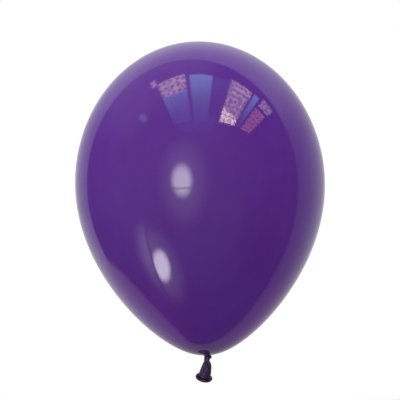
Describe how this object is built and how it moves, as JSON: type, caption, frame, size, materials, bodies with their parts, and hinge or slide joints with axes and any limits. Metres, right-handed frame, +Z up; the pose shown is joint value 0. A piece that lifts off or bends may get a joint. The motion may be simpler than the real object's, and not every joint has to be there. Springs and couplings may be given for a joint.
{
  "type": "latex balloon",
  "caption": "Inflated latex balloon: glossy teardrop envelope, gathered neck, overhand knot and a short flared tail with a rolled rim.",
  "frame": {"origin": "middle of the gathered neck, in the plane that touches the bottom of the envelope", "axes": "+Z up the balloon's axis from the neck to the crown, +X to the right and +Y to the back as the tail leans back at rest"},
  "size_m": [0.2802, 0.2802, 0.3834],
  "materials": {
    "stretched_latex": "glossy, stretched thin",
    "gathered_latex": "satin, gathered into fine pleats",
    "relaxed_latex": "satin, unstretched"
  },
  "bodies": {
    "balloon": {"envelope": "stretched_latex", "neck": "gathered_latex"},
    "knot": {"knot_core": "gathered_latex", "knot_wrap": "gathered_latex", "waist": "gathered_latex"},
    "tail": {"tail_sleeve": "relaxed_latex", "rolled_rim": "relaxed_latex"}
  },
  "joints": [
    {"name": "neck_bend", "type": "hinge", "parent": "balloon", "child": "knot", "pos_m": [0.0008, 0, -0.0031], "axis": [0, 1, 0], "range_deg": [-25, 25], "stiffness_Nm_per_rad": 0.003, "deforming": ["neck"]},
    {"name": "tail_bend", "type": "hinge", "parent": "knot", "child": "tail", "pos_m": [0.0007, 0.00018, -0.00692], "axis": [1, 0, 0], "range_deg": [-70, 30], "stiffness_Nm_per_rad": 0.0007, "deforming": ["waist"]}
  ]
}
